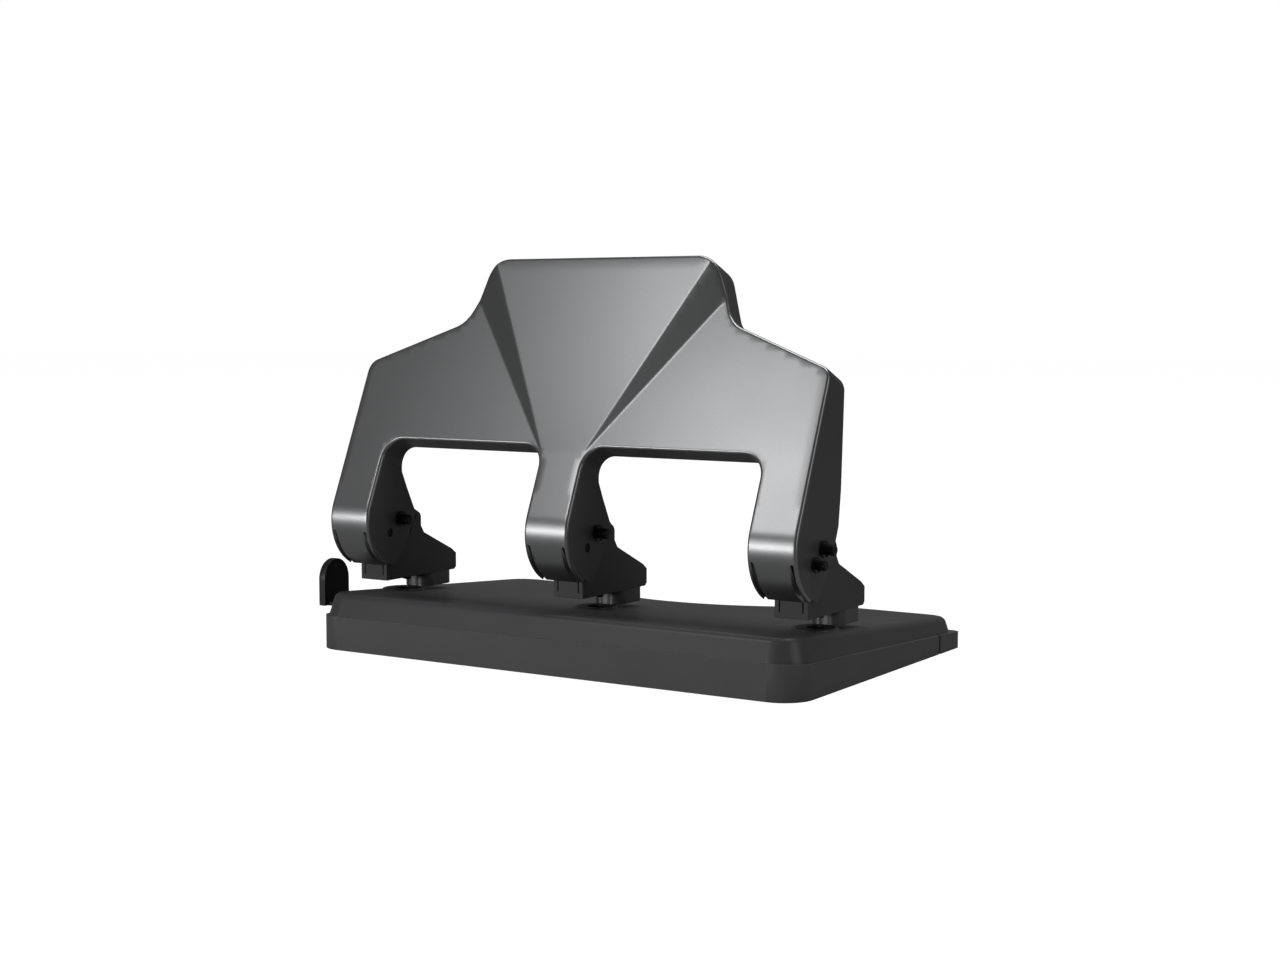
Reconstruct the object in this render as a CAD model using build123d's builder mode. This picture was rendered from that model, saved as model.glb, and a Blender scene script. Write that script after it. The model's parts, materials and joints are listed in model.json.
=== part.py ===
from build123d import *
import math
import os

# Three-hole lever punch: base housing, chip tray, three punch heads and a wide lever handle.
#
# Frame: millimetres, +Z up, table at Z = 0. X runs along the base and Y = 0 is the line of the
# three dies, so the origin lies under the middle die. Paper goes in from the -Y side.

os.makedirs("parts", exist_ok=True)

# ---- driving dimensions -------------------------------------------------------------------
hole_pitch = 107.95  # 4.25 in between filing holes
punch_diameter = 7.14  # 9/32 in hole
leg_names = ("left", "centre", "right")
leg_x = {"left": -hole_pitch, "centre": 0.0, "right": hole_pitch}

running_gap = 0.05  # radial clearance of a pin that turns or slides
free_gap = 0.3  # clearance between parts that only pass each other

# chip tray
tray_length = 247.0
tray_front_y = -45.0
tray_rear_y = 90.0
tray_corner = 13.5
tray_wall = 2.0
tray_floor = 1.8
seam_z_front = 15.2
seam_slope = 0.05  # fall of the seam per millimetre towards the rear

# base housing, a ledge inside the tray's outline
ledge = 4.5
base_length = tray_length - 2 * ledge
base_front_y = tray_front_y + ledge
base_rear_y = 110.5
base_corner = 9.0
base_skin = 2.0
top_z_at_die = 22.4
top_slope = 0.0734  # fall of the top per millimetre towards the rear
lip_radius = 3.4
skirt_ledge = 1.0  # the housing's foot, just inside the tray's outline
skirt_taper = 18.0  # degrees that its walls lean in
notch_radius = 59.0  # round clearance in the middle of the rear edge
notch_centre_y = 121.0

# die land, pedestal and die
land_radius = 9.7
land_z = 23.2
pedestal_half_width = 7.5
pedestal_front_y = 8.0
pedestal_rear_y = 28.5
bracket_z = 29.4  # underside of the punch bracket
die_radius = 8.25
die_height = 4.0
chip_hole_radius = 4.8

# tray hinge at the rear
block_front_y = 91.5
block_rear_y = 115.0
block_inner_x = 70.0
block_screw_x = 82.0
block_screw_ys = (96.0, 106.0)
hinge_y = 99.0
hinge_z = 4.3
hinge_pin_radius = 1.5
knuckle_x = 100.0
knuckle_width = 10.0
knuckle_radius = 3.2

# punch bracket
bracket_half_width = 7.5
bracket_sheet = 2.2
bracket_front_y = -21.0
bracket_foot_y = 30.4

# lever handle
pivot_y = -15.5
pivot_z = 57.5
pivot_radius = 2.25
leg_half_width = 11.0
handle_half_width = hole_pitch + leg_half_width
face_slope = 0.43  # the face leans back by this much per millimetre of height
face_y_ref = -31.6
face_z_ref = 77.36
cover_skin = 1.5
rim_depth = 1.7
handle_top_z = 173.7  # on the face; the raised panel's top edge stands higher
opening_top_z = 94.9
opening_corner = 9.0
panel_bottom_z = 90.6  # lower edge of the back panel, and of the web in front of it
neck_half_width = 57.5
neck_root_x = 69.0
neck_root_z = 147.3
shoulder_z = 129.0
profile_top_z = 195.0  # side profiles run past the top, which the face's outline trims
frame_wall = 2.2
panel_raise = 5.5  # how far the middle panel stands out at its top
panel_base_z = 91.3
panel_top_z = 173.0
panel_base_half = 10.3
panel_top_half = 55.7
crease_half = 64.2  # where the facet beside the panel dies into the wing
crease_z = 157.2

# punch drive
drive_radius = 11.9  # from the pivot to the drive pin
drive_rise = 2.0  # degrees above level at rest
drive_pin_radius = 1.75
drive_pin_half = 9.6
stop_pin_radius = 2.0
stop_y = -6.8  # from the pivot
stop_z = -5.6
swing = 40.0  # degrees that the handle turns
punch_tip_z = 27.4
bush_top_z = 36.0
bush_radius = 5.0
punch_head_z = 54.0
punch_head_top = 61.2
spring_wire = 0.7
spring_mean_radius = 4.2
spring_turns = 7

# paper guide
guide_face_x = -139.7  # half the width of a letter sheet
guide_tab = 4.0
guide_tab_width = 17.0
guide_tab_y = -19.0
guide_tab_top = 36.0
guide_bar_z = 14.4
guide_bar_thick = 1.8
guide_bar_y0 = -17.0
guide_bar_y1 = -9.0
guide_bar_end_x = -52.0


def top_z(y):
    """Height of the base's sloping top at a given y."""
    return top_z_at_die - top_slope * y


def seam_z(y):
    """Height of the seam between tray and base at a given y."""
    return seam_z_front - seam_slope * (y - tray_front_y)


def face_y(z):
    """Y of the handle's leaning face at a given height."""
    return face_y_ref + face_slope * (z - face_z_ref)


def sloping_plane(height, slope):
    """A plane that falls towards the rear, through the given height at y = 0."""
    return Plane(origin=(0, 0, height), x_dir=(1, 0, 0), z_dir=(0, slope, 1))


def plane_through(a, b, c):
    """The plane through three points, with its normal along (b - a) x (c - a)."""
    along = Vector(*b) - Vector(*a)
    across = Vector(*c) - Vector(*a)
    return Plane(origin=a, x_dir=along, z_dir=along.cross(across))


def save(piece, label):
    """Name a finished piece and write its STEP file."""
    piece.label = label
    export_step(piece, f"parts/{label}.step")


def arc_point(radius, degrees):
    """A (y, z) point round the handle's pivot, with zero degrees towards the rear."""
    angle = math.radians(degrees)
    return (pivot_y + radius * math.cos(angle), pivot_z + radius * math.sin(angle))


top_plane = sloping_plane(top_z_at_die, top_slope)
seam_plane = sloping_plane(seam_z(0), seam_slope)
drive_y, drive_z = arc_point(drive_radius, drive_rise)
stop_radius = math.hypot(stop_y, stop_z)
stop_angle = 180 + math.degrees(math.atan2(-stop_z, -stop_y))
lean = math.degrees(math.atan(face_slope))
nose_radius = (pivot_y - face_y(pivot_z)) * math.cos(math.radians(lean))
nose_inner = nose_radius - cover_skin
frame_radius = nose_inner - 0.05
rim_plane_distance = nose_radius - rim_depth * math.cos(math.radians(lean))
rim_angle = 180 - lean + math.degrees(math.acos(rim_plane_distance / nose_inner))
nose_end_angle = 244.0
frame_end_angle = 259.0

# rear edge of the handle, from the top down to the heel of each leg, as (y, z)
handle_rear = [(27.6, profile_top_z), (4.5, 133.0), (2.7, 119.3), (0.5, 80.0), (-1.5, 65.4)]
leg_heel = [(-3.7, 60.2), (-9.4, 49.3), (-13.3, 43.7)]
panel_fall = (handle_rear[2][0] - handle_rear[3][0]) / (handle_rear[2][1] - handle_rear[3][1])

# ---- outlines of the base and its cavity ----------------------------------------------------
with BuildSketch() as base_outline:
    with Locations((0, (base_front_y + base_rear_y) / 2)):
        RectangleRounded(base_length, base_rear_y - base_front_y, base_corner)
    with Locations((0, notch_centre_y)):
        Circle(notch_radius, mode=Mode.SUBTRACT)
    fillet(base_outline.vertices().filter_by_position(Axis.Y, 110, 111).filter_by(
        lambda v: abs(v.X) < 80), 8)

with BuildSketch(seam_plane) as skirt_outline:
    with Locations((0, (tray_front_y + block_rear_y) / 2)):
        RectangleRounded(tray_length - 2 * skirt_ledge,
                         block_rear_y - tray_front_y - 2 * skirt_ledge, tray_corner)
    with Locations((0, notch_centre_y)):
        Circle(notch_radius - ledge + skirt_ledge, mode=Mode.SUBTRACT)

with BuildSketch() as cavity_outline:
    add(base_outline.sketch)
    offset(amount=-base_skin, mode=Mode.REPLACE)

with BuildPart() as base_cavity:
    with BuildSketch():
        add(cavity_outline.sketch)
    extrude(amount=40)
    split(bisect_by=sloping_plane(top_z_at_die - base_skin, top_slope), keep=Keep.BOTTOM)

# ---- base housing ---------------------------------------------------------------------------
with BuildPart() as base_housing:
    add(skirt_outline.sketch)
    extrude(amount=20, taper=skirt_taper)
    split(bisect_by=top_plane, keep=Keep.BOTTOM)
    fillet(base_housing.faces().sort_by(Axis.Z)[-1].edges(), lip_radius)
    add(base_cavity.part, mode=Mode.SUBTRACT)
    for name in leg_names:
        with BuildSketch(Plane.XY.offset(land_z)):
            with Locations((leg_x[name], 0)):
                Circle(land_radius)
        extrude(amount=-5.5)
        with BuildSketch(Plane.XY.offset(land_z)):
            with Locations((leg_x[name], (pedestal_front_y + pedestal_rear_y) / 2)):
                RectangleRounded(2 * pedestal_half_width, pedestal_rear_y - pedestal_front_y, 5)
        extrude(amount=bracket_z - land_z)
        with Locations((leg_x[name], 0, land_z)):
            CounterBoreHole(chip_hole_radius, die_radius, die_height)
        with Locations((leg_x[name], 14.5, bracket_z), (leg_x[name], 24.0, bracket_z)):
            Hole(1.25, depth=8)
    for side in (-1, 1):
        for y in block_screw_ys:
            boss_z = seam_z(y - 3.2) + 0.05
            with BuildSketch(Plane.XY.offset(boss_z)):
                with Locations((side * block_screw_x, y)):
                    Circle(3.2)
            extrude(until=Until.NEXT)
            with Locations(Location((side * block_screw_x, y, boss_z), (180, 0, 0))):
                Hole(1.25, depth=4.5)
    slot_y = (guide_bar_y0 + guide_bar_y1) / 2
    with Locations((-base_length / 2, slot_y, guide_bar_z + guide_bar_thick / 2)):
        Box(8, guide_bar_y1 - guide_bar_y0 + 0.8, guide_bar_thick + 0.6, mode=Mode.SUBTRACT)
save(base_housing.part, "base_housing")

# ---- chip tray, hinged at the rear ------------------------------------------------------------
with BuildSketch() as tray_outline:
    with Locations((0, (tray_front_y + block_rear_y) / 2)):
        RectangleRounded(tray_length, block_rear_y - tray_front_y, tray_corner)
    with Locations((0, notch_centre_y)):
        Circle(notch_radius - ledge, mode=Mode.SUBTRACT)
    with Locations((0, tray_rear_y + 50)):
        Rectangle(2 * tray_length, 100, mode=Mode.SUBTRACT)

with BuildPart() as tray_hollow:
    with BuildSketch(Plane.XY.offset(tray_floor)):
        add(tray_outline.sketch)
        offset(amount=-tray_wall, mode=Mode.REPLACE)
    extrude(amount=30)
    split(bisect_by=sloping_plane(seam_z(0) - 2.2, seam_slope), keep=Keep.BOTTOM)

with BuildPart() as chip_tray:
    with BuildSketch():
        add(tray_outline.sketch)
    extrude(amount=30)
    split(bisect_by=seam_plane, keep=Keep.BOTTOM)
    add(tray_hollow.part, mode=Mode.SUBTRACT)
    with BuildSketch(Plane.XY.offset(tray_floor)):
        add(tray_outline.sketch)
        offset(amount=-ledge - 2.5, mode=Mode.REPLACE)
    extrude(amount=30, mode=Mode.SUBTRACT)
    for side in (-1, 1):
        with BuildSketch(Plane.YZ.offset(side * knuckle_x)):
            with Locations((hinge_y, hinge_z)):
                Circle(knuckle_radius)
            with Locations(((tray_rear_y - 1.0 + hinge_y) / 2, hinge_z)):
                Rectangle(hinge_y - tray_rear_y + 1.0, 2 * knuckle_radius)
            with Locations((hinge_y, hinge_z)):
                Circle(hinge_pin_radius + running_gap, mode=Mode.SUBTRACT)
        extrude(amount=knuckle_width / 2, both=True)
save(chip_tray.part, "chip_tray")

# ---- hinge blocks under the base's rear corners, with their pins --------------------------------
for side, name in ((-1, "left"), (1, "right")):
    block_outer_x = tray_length / 2
    block_middle = side * (block_inner_x + block_outer_x) / 2
    with BuildPart() as block:
        with BuildSketch():
            with Locations((block_middle, (block_front_y + block_rear_y) / 2)):
                Rectangle(block_outer_x - block_inner_x, block_rear_y - block_front_y)
            fillet(vertices().sort_by_distance((side * block_outer_x, block_rear_y))[0], 5)
        extrude(amount=30)
        split(bisect_by=seam_plane, keep=Keep.BOTTOM)
        with BuildSketch():
            with Locations((side * knuckle_x, block_front_y + 5.5)):
                Rectangle(knuckle_width + 2 * free_gap, 14)
        extrude(amount=30, mode=Mode.SUBTRACT)
        with BuildSketch(Plane.YZ.offset(side * knuckle_x)):
            with Locations((hinge_y, hinge_z)):
                Circle(hinge_pin_radius + 0.01)
        extrude(amount=15, both=True, mode=Mode.SUBTRACT)
        for y in block_screw_ys:
            with Locations(Location((side * block_screw_x, y, 0), (180, 0, 0))):
                CounterBoreHole(1.6, 3.1, 2.0)
    save(block.part, f"hinge_block_{name}")

    with BuildPart() as hinge_pin:
        with BuildSketch(Plane.YZ.offset(side * knuckle_x)):
            with Locations((hinge_y, hinge_z)):
                Circle(hinge_pin_radius)
        extrude(amount=14.5, both=True)
        chamfer(hinge_pin.edges(), 0.3)
    save(hinge_pin.part, f"hinge_pin_{name}")

with BuildPart() as block_screws:
    for side in (-1, 1):
        for y in block_screw_ys:
            with Locations((side * block_screw_x, y, 0.3)):
                Cylinder(2.9, 1.6, align=(Align.CENTER, Align.CENTER, Align.MIN))
                Cylinder(1.2, seam_z(y) + 2.5, align=(Align.CENTER, Align.CENTER, Align.MIN))
                Box(3.2, 0.8, 1.6, mode=Mode.SUBTRACT)
save(block_screws.part, "block_screws")

# ---- paper guide on its sliding bar ---------------------------------------------------------
guide_mid_y = guide_tab_y + guide_tab_width / 2
with BuildPart() as paper_guide:
    with BuildSketch(Plane.YZ.offset(guide_face_x - guide_tab)):
        with Locations((guide_mid_y, guide_bar_z)):
            Rectangle(guide_tab_width, 12, align=(Align.CENTER, Align.MIN))
        with Locations((guide_mid_y, guide_bar_z + 12)):
            Ellipse(guide_tab_width / 2, guide_tab_top - guide_bar_z - 12)
    extrude(amount=guide_tab)
    fillet(paper_guide.faces().sort_by(Axis.X)[0].edges(), 0.8)
    with BuildSketch(Plane.XY.offset(guide_bar_z)):
        with Locations(((guide_face_x + guide_bar_end_x) / 2, slot_y)):
            Rectangle(guide_bar_end_x - guide_face_x, guide_bar_y1 - guide_bar_y0)
    extrude(amount=guide_bar_thick)
save(paper_guide.part, "paper_guide")

with BuildPart() as guide_keepers:
    with Locations(*[(x, slot_y, 13.2) for x in (-86.0, -68.0)]):
        Box(6, 13, 10, align=(Align.CENTER, Align.CENTER, Align.MIN))
    split(bisect_by=sloping_plane(top_z_at_die - base_skin - 0.02, top_slope), keep=Keep.BOTTOM)
    with Locations((-77.0, slot_y, guide_bar_z + guide_bar_thick / 2)):
        Box(40, guide_bar_y1 - guide_bar_y0 + 0.6, guide_bar_thick + 0.6, mode=Mode.SUBTRACT)
save(guide_keepers.part, "guide_keepers")

# ---- punch heads, one under each leg ------------------------------------------------------------
bracket_profile = [
    (bracket_front_y, bracket_z), (bracket_front_y, 43.0), (-25.2, 48.0), (-28.0, 54.0),
    (-28.2, 60.0), (-25.0, 66.0), (-19.0, 69.0), (-12.0, 69.0), (-8.0, 65.5), (-5.0, 61.8),
    (0.3, 60.4), (3.4, 58.6), (4.2, 57.0), (4.2, 52.5), (6.4, 49.2), (27.0, 39.6),
    (bracket_foot_y, 37.2), (bracket_foot_y, 30.6), (bracket_foot_y - 1.2, bracket_z),
]
channel_profile = [
    (bracket_front_y + bracket_sheet, bracket_z + bracket_sheet),
    (bracket_front_y + bracket_sheet, 42.0), (-45.0, 42.0), (-45.0, 80.0), (45.0, 80.0),
    (45.0, bracket_z + bracket_sheet),
]
fork_profile = [
    (-8.0, punch_head_z), (3.57, punch_head_z), (3.57, 57.0), (2.6, 58.6), (0.0, 60.2),
    (-4.0, punch_head_top), (-8.0, punch_head_top),
]
inner_half = bracket_half_width - bracket_sheet
drive_path = CenterArc((pivot_y, pivot_z), drive_radius, drive_rise, -swing)
stop_path = CenterArc((pivot_y, pivot_z), stop_radius, stop_angle, -swing)
screw_spots = (14.5, 24.0)

for name in leg_names:
    x = leg_x[name]
    with BuildPart() as bracket:
        with BuildSketch(Plane.YZ.offset(x)):
            with BuildLine():
                Polyline(*bracket_profile, close=True)
            make_face()
        extrude(amount=bracket_half_width, both=True)
        with BuildSketch(Plane.YZ.offset(x)):
            with BuildLine():
                Polyline(*channel_profile, close=True)
            make_face()
        extrude(amount=inner_half, both=True, mode=Mode.SUBTRACT)
        with BuildSketch(Plane.YZ.offset(x)):
            with Locations((pivot_y, pivot_z)):
                Circle(pivot_radius + 0.01)
            SlotArc(drive_path, 2 * (drive_pin_radius + free_gap))
            SlotArc(stop_path, 2 * (stop_pin_radius + free_gap))
        extrude(amount=bracket_half_width + 1, both=True, mode=Mode.SUBTRACT)
        for side in (-1, 1):
            with Locations((x + side * inner_half, bracket_front_y, bracket_z + 2.5)):
                Box(0.5, 2 * bracket_sheet + 0.4, 20,
                    align=(Align.CENTER, Align.CENTER, Align.MIN), mode=Mode.SUBTRACT)
        with Locations((x, 0, bracket_z + bracket_sheet)):
            Hole(bush_radius + 0.01)
        with Locations(*[(x, y, bracket_z + bracket_sheet) for y in screw_spots]):
            Hole(1.6)
    save(bracket.part, f"punch_bracket_{name}")

    with BuildPart() as bush:
        with Locations((x, 0, bracket_z)):
            Cylinder(bush_radius, bush_top_z - bracket_z,
                     align=(Align.CENTER, Align.CENTER, Align.MIN))
            Hole(punch_diameter / 2 + running_gap)
        chamfer(bush.edges().group_by(Axis.Z)[-1], 0.3)
    save(bush.part, f"guide_bush_{name}")

    with BuildPart() as die:
        with Locations((x, 0, land_z - die_height)):
            Cylinder(die_radius - 0.01, die_height + 0.1,
                     align=(Align.CENTER, Align.CENTER, Align.MIN))
        chamfer(die.edges().group_by(Axis.Z)[-1], 0.3)
        with Locations((x, 0, land_z)):
            Hole(punch_diameter / 2 + running_gap)
        with Locations((x, 0, land_z - die_height)):
            Cylinder(chip_hole_radius - 0.4, 1.8, mode=Mode.SUBTRACT,
                     align=(Align.CENTER, Align.CENTER, Align.MIN))
    save(die.part, f"die_bush_{name}")

    with BuildPart() as punch:
        with BuildSketch(Plane.XY.offset(punch_tip_z)):
            with Locations((x, 0)):
                Circle(punch_diameter / 2)
        extrude(amount=punch_head_z - punch_tip_z)
        with BuildSketch(Plane.YZ.offset(x)):
            with BuildLine():
                Polyline(*fork_profile, close=True)
            make_face()
        extrude(amount=inner_half - 0.8, both=True)
        with BuildSketch(Plane.YZ.offset(x)):
            with Locations((-5.5, drive_z)):
                Rectangle(8.0, 2 * (drive_pin_radius + 0.35))
        extrude(amount=inner_half, both=True, mode=Mode.SUBTRACT)
        with BuildSketch(Plane.XZ):
            with BuildLine():
                Polyline((x - 3.6, punch_tip_z), (x + 3.6, punch_tip_z),
                         (x, punch_tip_z + 1.6), close=True)
            make_face()
        extrude(amount=5, both=True, mode=Mode.SUBTRACT)
    save(punch.part, f"punch_pin_{name}")

    spring_length = punch_head_z - bush_top_z - spring_wire
    with BuildPart() as spring:
        with BuildLine():
            coil = Helix(spring_length / spring_turns, spring_length, spring_mean_radius,
                         center=(x, 0, bush_top_z + spring_wire / 2))
        with BuildSketch(Plane(origin=coil @ 0, z_dir=coil % 0)):
            Circle(spring_wire / 2 - 0.01)
        sweep()
    save(spring.part, f"return_spring_{name}")

    with BuildPart() as pivot_pin:
        with BuildSketch(Plane.YZ.offset(x - leg_half_width - 1.5)):
            with Locations((pivot_y, pivot_z)):
                Circle(3.8)
        extrude(amount=1.4)
        with BuildSketch(Plane.YZ.offset(x - leg_half_width - 0.1)):
            with Locations((pivot_y, pivot_z)):
                Circle(pivot_radius)
        extrude(amount=2 * leg_half_width + 5.9)
        chamfer(pivot_pin.edges().sort_by(Axis.X)[-1], 0.5)
        with BuildSketch(Plane.YZ.offset(x + leg_half_width + 0.6)):
            with Locations((pivot_y, pivot_z)):
                Circle(pivot_radius + 1)
                Circle(1.7, mode=Mode.SUBTRACT)
        extrude(amount=0.9, mode=Mode.SUBTRACT)
    save(pivot_pin.part, f"pivot_pin_{name}")

    with BuildPart() as drive_pin:
        with BuildSketch(Plane.YZ.offset(x)):
            with Locations((drive_y, drive_z)):
                Circle(drive_pin_radius)
        extrude(amount=drive_pin_half, both=True)
    save(drive_pin.part, f"drive_pin_{name}")

    stop_reach = leg_half_width + 5.4 if name == "right" else leg_half_width - 0.6
    with BuildPart() as stop_pin:
        with BuildSketch(Plane.YZ.offset(x - leg_half_width + 0.6)):
            with Locations((pivot_y + stop_y, pivot_z + stop_z)):
                Circle(stop_pin_radius)
        extrude(amount=leg_half_width - 0.6 + stop_reach)
        chamfer(stop_pin.edges().sort_by(Axis.X)[-1], 0.4)
        if name == "right":
            with BuildSketch(Plane.YZ.offset(x + leg_half_width + 0.6)):
                with Locations((pivot_y + stop_y, pivot_z + stop_z)):
                    Circle(stop_pin_radius + 1)
                    Circle(1.5, mode=Mode.SUBTRACT)
            extrude(amount=0.9, mode=Mode.SUBTRACT)
    save(stop_pin.part, f"stop_pin_{name}")


# ---- snap rings, washers and screws -------------------------------------------------------------
ring_offset = leg_half_width + 0.7
ring_sets = {
    "pivot_rings": ([(leg_x[name], pivot_y, pivot_z) for name in leg_names], 1.75, 3.6),
    "stop_ring": ([(leg_x["right"], pivot_y + stop_y, pivot_z + stop_z)], 1.55, 3.3),
}
for label, (places, inner, outer) in ring_sets.items():
    with BuildPart() as rings:
        for x, y, z in places:
            with BuildSketch(Plane.YZ.offset(x + ring_offset)):
                with Locations((y, z)):
                    Circle(outer)
                    Circle(inner, mode=Mode.SUBTRACT)
                    Rectangle(2 * inner - 0.4, outer + 1, align=(Align.CENTER, Align.MAX),
                              mode=Mode.SUBTRACT)
            extrude(amount=0.7)
    save(rings.part, label)

with BuildPart() as pivot_washers:
    for name in leg_names:
        for side in (-1, 1):
            middle = side * (bracket_half_width + leg_half_width - frame_wall) / 2
            with BuildSketch(Plane.YZ.offset(leg_x[name] + middle)):
                with Locations((pivot_y, pivot_z)):
                    Circle(4.4)
                    Circle(pivot_radius + 0.05, mode=Mode.SUBTRACT)
            extrude(amount=0.6, both=True)
save(pivot_washers.part, "pivot_washers")

with BuildPart() as bracket_screws:
    for name in leg_names:
        for y in screw_spots:
            with Locations((leg_x[name], y, bracket_z + bracket_sheet)):
                Cylinder(2.75, 2.0, align=(Align.CENTER, Align.CENTER, Align.MIN))
                Cylinder(1.2, 9.5, align=(Align.CENTER, Align.CENTER, Align.MAX))
            with Locations((leg_x[name], y, bracket_z + bracket_sheet + 2.0)):
                Box(3.2, 0.7, 1.6, mode=Mode.SUBTRACT)
                Box(0.7, 3.2, 1.6, mode=Mode.SUBTRACT)
save(bracket_screws.part, "bracket_screws")

# ---- lever handle: outlines ---------------------------------------------------------------------
leg_inner_x = hole_pitch - leg_half_width
lean_cos = math.cos(math.radians(lean))
face_plane = Plane(origin=(0, face_y(0), 0), x_dir=(1, 0, 0), z_dir=(0, -1, face_slope))


def on_face(x, z):
    """Sketch coordinates on the leaning face of a point at a given x and height."""
    return (x, z / lean_cos)


neck_corner = on_face(neck_half_width, handle_top_z)
neck_root = on_face(neck_root_x, neck_root_z)
shoulder = on_face(handle_half_width, shoulder_z)
opening_outer = on_face(leg_inner_x, opening_top_z)
opening_inner = on_face(leg_half_width, opening_top_z)
with BuildSketch(face_plane) as handle_outline:
    with BuildLine():
        Polyline((0, neck_corner[1]), neck_corner, neck_root, shoulder,
                 (handle_half_width, 10.0), (leg_inner_x, 10.0), opening_outer, opening_inner,
                 (leg_half_width, 10.0), (0, 10.0), close=True)
    make_face()
    for corner, radius in ((neck_corner, 13.0), (neck_root, 13.0), (shoulder, 6.0),
                           (opening_outer, opening_corner), (opening_inner, opening_corner)):
        fillet(vertices().sort_by_distance(corner)[0], radius)
    mirror(about=Plane.YZ)

with BuildSketch(Plane.YZ) as cover_side:
    with BuildLine():
        rim_top = (face_y(profile_top_z) + rim_depth, profile_top_z)
        Polyline((face_y(profile_top_z), profile_top_z), rim_top)
        Line(rim_top, (pivot_y + nose_inner * math.cos(math.radians(rim_angle)),
                       pivot_z + nose_inner * math.sin(math.radians(rim_angle))))
        inner_arc = CenterArc((pivot_y, pivot_z), nose_inner, rim_angle, nose_end_angle - rim_angle)
        outer_arc = CenterArc((pivot_y, pivot_z), nose_radius, nose_end_angle,
                              180 - lean - nose_end_angle)
        Line(inner_arc @ 1, outer_arc @ 0)
        Line(outer_arc @ 1, (face_y(profile_top_z), profile_top_z))
    make_face()

with BuildSketch(Plane.YZ) as frame_side:
    with BuildLine():
        frame_start = rim_angle
        frame_arc = CenterArc((pivot_y, pivot_z), frame_radius, frame_start,
                              frame_end_angle - frame_start)
        frame_top = (face_y(profile_top_z) + rim_depth + 0.05, profile_top_z)
        Polyline(frame_arc @ 0, frame_top, *handle_rear, *leg_heel, frame_arc @ 1)
    make_face()

with BuildSketch(Plane.YZ) as cover_hollow_side:
    with BuildLine():
        skin_y = cover_skin / math.cos(math.radians(lean))
        tangent = (pivot_y - nose_inner * math.cos(math.radians(lean)),
                   pivot_z + nose_inner * math.sin(math.radians(lean)))
        Polyline(tangent, (face_y(profile_top_z) + skin_y, profile_top_z),
                 (60.0, profile_top_z), (60.0, tangent[1]), close=True)
    make_face()
    with Locations((pivot_y, pivot_z)):
        Circle(nose_inner)

# the raised middle panel: its face and the two facets that fall from it to the wings
panel_low = (panel_base_half, face_y(panel_base_z), panel_base_z)
panel_low_left = (-panel_base_half, face_y(panel_base_z), panel_base_z)
panel_high = (panel_top_half, face_y(panel_top_z) - panel_raise, panel_top_z)
crease = (crease_half, face_y(crease_z), crease_z)

panel_parts = []
for inset in (0.0, cover_skin):
    with BuildPart() as panel:
        with BuildSketch(face_plane.offset(20)):
            add(handle_outline.sketch_local)
            if inset:
                offset(amount=-inset, mode=Mode.REPLACE)
            with Locations(on_face(0, 135)):
                Rectangle(150, 98, mode=Mode.INTERSECT)
        extrude(amount=-40)
        split(bisect_by=plane_through(panel_low, panel_low_left, panel_high), keep=Keep.TOP)
        split(bisect_by=plane_through(panel_low, panel_high, crease), keep=Keep.TOP)
        split(bisect_by=plane_through(panel_low_left, (-panel_high[0], *panel_high[1:]),
                                      (-crease[0], *crease[1:])), keep=Keep.BOTTOM)
        split(bisect_by=Plane(origin=(0, face_y(100.0) + 0.4, 100.0),
                              z_dir=(0, 1, -face_slope)), keep=Keep.BOTTOM)
    panel_parts.append(panel.part)
raised_panel, panel_hollow = panel_parts

with BuildPart() as cover_hollow:
    with BuildSketch(face_plane.offset(60)):
        add(handle_outline.sketch_local)
        offset(amount=-cover_skin, mode=Mode.REPLACE)
    extrude(amount=-120)
    with BuildSketch(Plane.YZ):
        add(cover_hollow_side.sketch_local)
    extrude(amount=2 * handle_half_width, both=True, mode=Mode.INTERSECT)

# cover screws go in from behind, square to the back panel
cover_screw_spots = [(x, 108.0) for x in (-95.0, -30.0, 30.0, 95.0)]


def rear_y(z):
    """Y of the back panel's outer face between the legs' tops and the shoulders."""
    return handle_rear[3][0] + panel_fall * (z - handle_rear[3][1])


# ---- handle cover: the bright sheet that wraps the front and the noses -------------------------
with BuildPart() as handle_cover:
    with BuildSketch(face_plane.offset(60)):
        add(handle_outline.sketch_local)
    extrude(amount=-120)
    with BuildSketch(Plane.YZ):
        add(cover_side.sketch_local)
    extrude(amount=2 * handle_half_width, both=True, mode=Mode.INTERSECT)
    add(raised_panel)
    add(cover_hollow.part, mode=Mode.SUBTRACT)
    add(panel_hollow.moved(Location((0, skin_y, 0))), mode=Mode.SUBTRACT)
    for x, z in cover_screw_spots:
        boss_y = rear_y(z) - frame_wall - 0.25
        with BuildSketch(Plane.XZ.offset(-boss_y)):
            with Locations((x, z)):
                Circle(3.0)
        extrude(amount=boss_y - face_y(z) - skin_y)
        with BuildSketch(Plane.XZ.offset(-boss_y)):
            with Locations((x, z)):
                Circle(1.25)
        extrude(amount=9.0, mode=Mode.SUBTRACT)
    for name in leg_names:
        for side in (-1, 1):
            with Locations((leg_x[name] + side * 8.9, pivot_y - nose_radius, 42.0)):
                Box(1.6, 32.0, 23.0, mode=Mode.SUBTRACT)
save(handle_cover.part, "handle_cover")

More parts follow.
